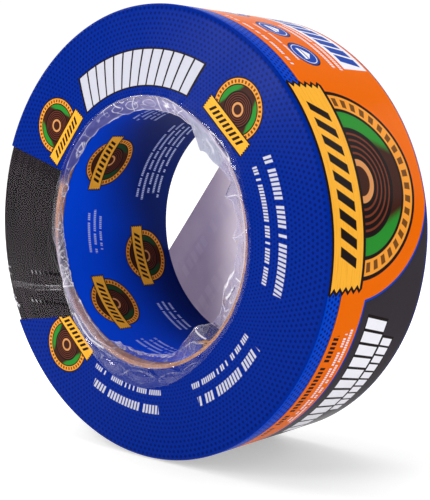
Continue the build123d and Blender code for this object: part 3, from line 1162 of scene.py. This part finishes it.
def straight_folds(grid, start, length, seed, count, widths, tall, tilt):
    """Height and whiteness of folds across part of a ring, which starts at an angle.

    The whiteness is crease whitening with painted highlights along the ridges.
    """
    draw = np.random.default_rng(seed)
    arc, depth = grid.arc, grid.depth
    whole = 2 * math.pi * RIM_R
    height, white = np.zeros((2,) + arc.shape)
    for _ in range(count):
        place = math.radians(start + draw.uniform(0, length)) * RIM_R
        lean = draw.normal(0, tilt)
        half_width = draw.uniform(*widths)
        lift = draw.uniform(*tall) * (1 if draw.uniform() < 0.6 else -1)
        middle = draw.uniform(0.2, 4.0)
        reach = draw.uniform(1.0, 3.4)
        glare = draw.uniform(0, 1) ** 2
        offset = (arc - place - lean * depth + whole / 2) % whole - whole / 2
        along = hump(depth - middle, reach)
        height += lift * unit(1 - np.abs(offset) / half_width) * along
        white = np.maximum(white, glare * hump(offset, 0.30) * along)
    return height, white


def glint_lines(u, v, width, seed):
    """Curved bright lines, broken here and there; u and v count cells of the pattern."""
    field = ripple(u, v, seed)
    broken = unit(2.4 * ripple(u * 0.7 + 9, v * 0.7, seed + 1) + 0.2)
    return hump(field, width) * broken


def lilac_to(ink, share):
    """A colour for every place, from lilac to another ink."""
    share = share[..., None]
    return np.array(LILAC[:3]) * (1 - share) + np.array(ink[:3]) * share


def front_skirt_paint(grid, folds, knots, milk_and_sheen_spots, rings):
    """Where the front skirt is milky, frosted, blue over the core and creased,
    and where it is painted bright as highlights and dark as shade.
    """
    angles, arc, depth = grid.angles, grid.arc, grid.depth
    paint = FilmPaint(arc.shape, LILAC)
    cloud = grid.cloud()
    blue = by_angle(COVER, angles, 2)
    deep_end = 0.5 + 2.6 * blue
    over_core = unit((depth + 1.8) / 0.4) * unit((deep_end - depth) / 0.5)
    cover = by_angle(COVER, angles) * over_core * (0.85 + 0.2 * cloud)
    paint.lay(lilac_to(BAND_BLUE, blue), cover)

    starts = by_angle(MILKINESS, angles, 2)
    inner = unit((depth - starts) / 0.3)
    milky = by_angle(MILKINESS, angles) * (0.7 + 0.6 * cloud) * inner
    paint.lay(lilac_to(FROST, by_angle(MILKINESS, angles, 3)), milky)
    paint.lay(LILAC, milk_and_sheen_spots)

    # painted glints: curved bright lines and zigzags standing for highlights on the film
    share = by_angle(GLINTS, angles)
    glints = glint_lines(arc * 0.55, depth * 0.85, 0.13, 61) * share * inner
    near_knots = grid.near(-166, 20)
    zigzag = glint_lines(arc * 0.95 + depth, depth * 0.5, 0.24, 71) * unit(2 * near_knots)
    # painted shade in the hollows by the knots
    painted_hollow_shade = unit(2.0 * ripple(arc * 0.8, depth * 0.9, 73) - 0.5)
    paint.lay(PAINTED_FOLD_SHADE, 0.75 * painted_hollow_shade * near_knots * inner)
    paint.lay(CREASE_WHITE_AND_GLINT, np.maximum(glints, zigzag * inner))
    # crease whitening and painted highlights along the folds, the knots and the blisters' outlines
    paint.lay(CREASE_WHITE_AND_GLINT, 0.32 * folds * inner + 0.8 * knots + 0.75 * rings)

    # painted highlights along the film's free edge and where its milky part starts
    broken = 0.35 + 0.65 * unit(2 * ripple(arc * 0.4, 0 * arc, 17) + 0.4)
    free_line = np.exp(-(((grid.reach_in - depth) / 0.20) ** 2))
    gathered = np.clip(share * 2.2, 0.45, 1)
    start_line = np.exp(-(((starts - depth) / 0.14) ** 2)) * np.clip(share * 2, 0, 0.8)
    paint.lay(CREASE_WHITE_AND_GLINT, (0.75 * free_line * gathered + 0.6 * start_line) * broken)

    # single folds painted as highlights and as shade
    for bright, half_width, strength, line in STROKES:
        in_mm = [(math.radians(turn) * RIM_R, deep) for turn, deep in line]
        stroke = strength * hump(distance_to_line(arc, depth, in_mm), half_width)
        paint.lay(CREASE_WHITE_AND_GLINT if bright else PAINTED_FOLD_SHADE, stroke)
    return paint


def blisters(grid):
    """Height, milkiness with painted sheen, and bright outlines painted as highlights, of the
    blisters in the film.
    """
    height, milk_and_sheen_spots, rings = np.zeros((3,) + grid.arc.shape)
    for turn, inside, half_long, half_wide, milky in BLISTERS:
        along = turn_gap(grid.angles, turn) * (math.pi / 180 * RIM_R) / half_long
        over = (grid.depth - inside) / half_wide
        away = np.sqrt(along * along + over * over)
        height += 0.5 * hump(away, 1.0)
        milk_and_sheen_spots = np.maximum(milk_and_sheen_spots, milky * hump(away, 1.1))
        glare = 0.5 + 0.5 * ripple(along * 2 + turn, over * 2, 15)
        # painted highlights round each blister's outline
        rings = np.maximum(rings, hump(away - 0.95, 0.2 / half_wide) * glare)
    on_bulges = grid.near(-98, 60) * unit(-grid.depth)
    rings = rings * unit(grid.share * 5) * (1 - 0.75 * unit(2 * on_bulges))
    return height, milk_and_sheen_spots, rings


def skirt_piece(name, grid, radii, places, side, paint, materials, replaced):
    """A thin closed shell of gathered film; side is -1 at the front and 1 at the rear."""
    sheet = round_place(radii, grid.angles, places)
    along = np.roll(sheet, -1, axis=0) - np.roll(sheet, 1, axis=0)
    normal = np.cross(along, np.gradient(sheet, axis=1)) * -side
    normal /= np.maximum(np.linalg.norm(normal, axis=-1, keepdims=True), 1e-9)
    points, faces = shell(sheet + normal * SKIRT_T, sheet, True)
    sheets = 2 * sheet.shape[0] * (sheet.shape[1] - 1)
    face_slots = (np.arange(len(faces)) >= sheets).astype(np.int32)
    return make_piece(
        name, points, faces, materials, "roll", (replaced,), face_slots,
        sharp=60, paint=paint.points(),
    )


def front_skirt(materials):
    """Clear film from over the print's edge, past the rim and a little way into the core."""
    grid = SkirtGrid(front_reach)
    fade = unit(grid.share * 6)
    height, folds = straight_folds(grid, 0, 360, 4, 90, (0.8, 2.6), (0.12, 0.45), 0.5)
    rise, knots = straight_folds(grid, 180, 27, 77, 40, (0.25, 0.8), (0.15, 0.5), 1.3)
    bumps, milk_and_sheen_spots, rings = blisters(grid)
    height = (height + rise + grid.wave()) * fade + bumps
    ratio = np.clip(grid.depth, 0, None) / np.maximum(grid.reach_in, 0.1)
    off_wall = np.clip(height, -0.25, 1.2) * unit(grid.in_bore / 1.5)
    radii = RIM_R + grid.on_face - grid.lean * ratio ** 1.4 - off_wall * (0.4 + 0.6 * ratio)
    places = grid.in_bore - FILM_HALF - 0.37 - 0.8 * grid.lift(height)
    paint = front_skirt_paint(grid, folds, knots * fade, milk_and_sheen_spots, rings)
    skirt_piece("front_skirt_film", grid, radii, places, -1, paint, materials, "front_skirt")


def rear_skirt(materials):
    """The same film at the back, short and nearly flat."""
    grid = SkirtGrid(rear_reach)
    height, folds = straight_folds(grid, 0, 360, 6, 90, (0.8, 2.6), (0.12, 0.45), 0.5)
    height = (height + grid.wave()) * 0.3 * unit(grid.share * 6)
    radii = RIM_R + 0.75 + grid.on_face - 0.2 * grid.share
    places = FILM_HALF + 0.10 + 0.3 * grid.lift(height)
    paint = FilmPaint(grid.arc.shape, LILAC)
    paint.lay(LILAC, 0.12 + 0.16 * grid.cloud())
    # painted highlights: glints and bright folds on the rear film
    glints = glint_lines(grid.arc * 0.55, grid.depth * 0.85, 0.13, 63)
    paint.lay(CREASE_WHITE_AND_GLINT, 0.6 * folds + 0.5 * glints)
    skirt_piece("rear_skirt_film", grid, radii, places, 1, paint, materials, "rear_skirt")


# ---- tape
TAPE_PITCH = 0.382                           # from one turn to the next


def tape_piece(material):
    """The wound strip: every turn stands as its own ridge on both sides."""
    around = 220
    turns = int((TAPE_R - CORE_OUT_R - 0.05) / TAPE_PITCH)
    radii, places = [], []
    inner = TAPE_R - turns * TAPE_PITCH
    for index in range(turns):
        base = inner + index * TAPE_PITCH
        stand = 0.03 * float(ripple(index * 0.7, 0.0, 21))
        drawn_in = 0.7 if index >= turns - 2 else 0.0
        for share, dip in ((0.08, 0.035), (0.5, 0.0)):
            radii.append(base + share * TAPE_PITCH)
            places.append(TAPE_HALF - 0.06 - dip + stand - drawn_in)
    front_r, front_y = np.array(radii), -np.array(places)
    outline_r = np.concatenate([front_r, [TAPE_R, TAPE_R], front_r[::-1]])
    outline_y = np.concatenate([
        front_y, [front_y[-1] + 0.3, -front_y[-1] - 0.3], -front_y[::-1],
    ])
    columns = len(outline_r)
    angles = np.linspace(0, 360, around, endpoint=False)[:, None]
    ring_x, ring_z = around_the_ring(angles, 9.0)
    wander = ripple(ring_x + outline_r * 0.4, ring_z, 22, 0.3)
    outline_y = outline_y + np.sign(outline_y) * wander * 0.03
    points = round_place(outline_r, angles, outline_y).reshape(-1, 3)
    faces = []
    for i in range(around):
        j = (i + 1) % around
        for k in range(columns):
            m = (k + 1) % columns
            faces.append((i * columns + k, j * columns + k, j * columns + m, i * columns + m))
    replaced = ("tape_strip",)
    return make_piece(
        "tape_strip_turns", points, faces, [material], "roll", replaced, sharp=30
    )


# ---- card and flap
FLAP_TURN = 51.4                             # of its long side, degrees
FLAP_EDGE = 22.3                             # its upper long edge, from the axis
FLAP_SIZE = (96.0, 64.0)
FLAP_T = 0.2
FLAP_STAND = 0.6                             # off the back of the roll


def card_piece(material):
    """Rolled card with an uneven front edge, its seam at the bottom."""
    around, across = 240, 24
    angles = np.linspace(-89.6, 269.6, around)[:, None]
    share = np.linspace(0, 1, across)[None, :]
    turn = np.radians(angles)
    edge = 0.12 * ripple(np.cos(turn) * 6, np.sin(turn) * 6, 31, 0.8)
    recess = 1.9 + 1.6 * (1 + np.cos(turn)) + edge
    front = -TAPE_HALF + recess
    back = FILM_HALF + FLAP_STAND
    y = front + (back - front) * share
    wave = 0.05 * ripple(np.cos(turn) * 9, np.sin(turn) * 9 + 6 * share, 32, 0.5)
    outer_r = CARD_R - 0.06 + np.minimum(wave, 0.0)
    outside = round_place(outer_r, angles, y)
    inside = round_place(outer_r - CARD_T, angles, y)
    points, faces = shell(inside, outside, False)
    replaced = ("insert_card",)
    return make_piece(
        "insert_card_rolled", points, faces, [material], "insert", replaced
    )


def flap_piece(materials):
    """Thin sheet across the back of the core, bowed a little away from it."""
    length, width = FLAP_SIZE
    columns, rows = 60, 40
    u = np.linspace(-length / 2, length / 2, columns)[None, :] * np.ones((rows, 1))
    v = np.linspace(FLAP_EDGE - width, FLAP_EDGE, rows)[:, None] * np.ones((1, columns))
    turn = math.radians(FLAP_TURN)
    x = u * math.cos(turn) - v * math.sin(turn)
    z = u * math.sin(turn) + v * math.cos(turn)
    away = np.hypot(x, z)
    bow = 1.3 * unit((away - 42.0) / 20.0) ** 2 + 0.1 * (1 + ripple(u, v, 41, 0.05))
    y = FILM_HALF + FLAP_STAND + bow
    front = np.stack([x, y, z + AXIS_Z], axis=-1)
    back = front + np.array([0, FLAP_T, 0])
    points, faces = shell(back, front, False)
    printed = (rows - 1) * (columns - 1)
    face_slots = (np.arange(len(faces)) < printed).astype(np.int32)
    return make_piece(
        "insert_flap_sheet", points, faces, materials, "insert",
        ("insert_flap",), face_slots,
    )


# ---- light and stage
SHADOW_PLACE = (0.11, 0.05, 0.0)             # where the floor glows least


def make_floor():
    """A large pale floor that glows less where the roll's shadow falls."""
    mesh = bpy.data.meshes.new("floor")
    size = 3.0
    corners = [(size * x, size * y, 0) for x, y in ((-1, -1), (1, -1), (1, 1), (-1, 1))]
    mesh.from_pydata(corners, [], [(0, 1, 2, 3)])
    floor = add_object("floor", mesh)
    floor.location.z = -0.0003
    canvas = Canvas("floor_white")
    canvas.paint((0.76, 0.76, 0.76, 1))
    away = canvas.node("VectorMath", {0: canvas.place, 1: SHADOW_PLACE}, operation="DISTANCE")
    glow = smooth_range(canvas.tree, away.outputs["Value"], 0.04, 0.28, 0.34, 0.76)
    feed(canvas.shader.inputs["Emission Color"], PURE)
    feed(canvas.shader.inputs["Emission Strength"], glow)
    mesh.materials.append(canvas.finish(0.9, 0.0))


def make_world():
    """White studio walls behind the roll, greyer ones in front of it."""
    world = bpy.data.worlds.new("studio")
    bpy.context.scene.world = world
    world.use_nodes = True
    tree = world.node_tree
    direction = add_node(tree, "TexCoord", {}).outputs["Generated"]
    pair = {0: direction, 1: (-0.657, 0.754, 0.0)}     # the camera's own direction, level
    along = add_node(tree, "VectorMath", pair, operation="DOT_PRODUCT").outputs["Value"]
    sky = tree.nodes["Background"]
    feed(sky.inputs["Color"], PURE)
    feed(sky.inputs["Strength"], smooth_range(tree, along, -0.2, 0.85, 0.36, 1.05))


# Lamps: name, place, target, width, height, radiance.
LAMPS = (
    ("front_softbox", (-0.05, -0.55, 0.60), (0, 0, 0.08), 0.30, 0.24, 4.4),
    ("low_softbox", (-0.375, -0.575, 0.18), (0, 0, 0.08), 0.15, 0.11, 16.0),
    ("top_softbox", (0.05, 0.05, 0.75), (0, 0, 0.08), 0.5, 0.5, 2.0),
    ("right_softbox", (0.75, -0.15, 0.35), (0.03, 0, 0.07), 0.25, 0.25, 3.0),
    ("back_softbox", (0.30, 0.55, 0.30), (0, 0, 0.07), 0.30, 0.30, 4.0),
    ("strip_left", (-0.62, -0.30, 0.42), (0, 0, 0.07), 0.015, 0.5, 40.0),
    ("strip_right", (0.30, -0.60, 0.30), (0, 0, 0.07), 0.015, 0.3, 40.0),
)


def make_lamps():
    """Soft lamps, and two narrow ones that put glints on the clear film."""
    for name, place, target, width, height, radiance in LAMPS:
        data = bpy.data.lights.new(name, "AREA")
        data.shape = "RECTANGLE"
        data.size = width
        data.size_y = height
        data.energy = radiance * math.pi * width * height
        aim(add_object(name, data), place, Vector(target) - Vector(place))


# ---- assembly
make_camera()
make_floor()
make_world()
make_lamps()
bpy.context.scene.view_settings.view_transform = "Standard"

clear_window = clear_film_material("clear_film_window", window_paint, 0.004)
clear_skirt = clear_film_material("clear_film_skirt", mesh_paint, 0.012)
clear_edge = clear_edge_material()
board = paperboard_material()

sleeve = film_between(
    "sleeve_printed_film", WINDOW_BOTTOM, WINDOW_TOP, True, 330,
    sleeve_section(26, 26), ("sleeve_printed",),
    [face_material(), tread_material()], False,
)
sleeve.visible_diffuse = False               # its strong colours don't tint the white floor
window_section = sleeve_section(90, 60)
film_between(
    "sleeve_window_upper_film", WINDOW_TOP, TEAR_TOP, False, 130, window_section,
    ("sleeve_window_upper",), [clear_window, clear_edge], True,
)
film_between(
    "sleeve_window_lower_film", TEAR_BOTTOM, WINDOW_BOTTOM, False, 34, window_section,
    ("sleeve_window_lower",), [clear_window, clear_edge], True,
)
tear_strip_pieces([clear_window, clear_edge])
front_skirt([clear_skirt, clear_edge])
rear_skirt([clear_skirt, clear_edge])
tape_piece(tape_material())
card_piece(card_material())
flap_piece([flap_paper_material(FLAP_TURN), flap_print_material(FLAP_TURN)])
for node in ("core_inner_ply", "core_middle_ply", "core_outer_ply"):
    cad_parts[node].data.materials.clear()
    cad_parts[node].data.materials.append(board)
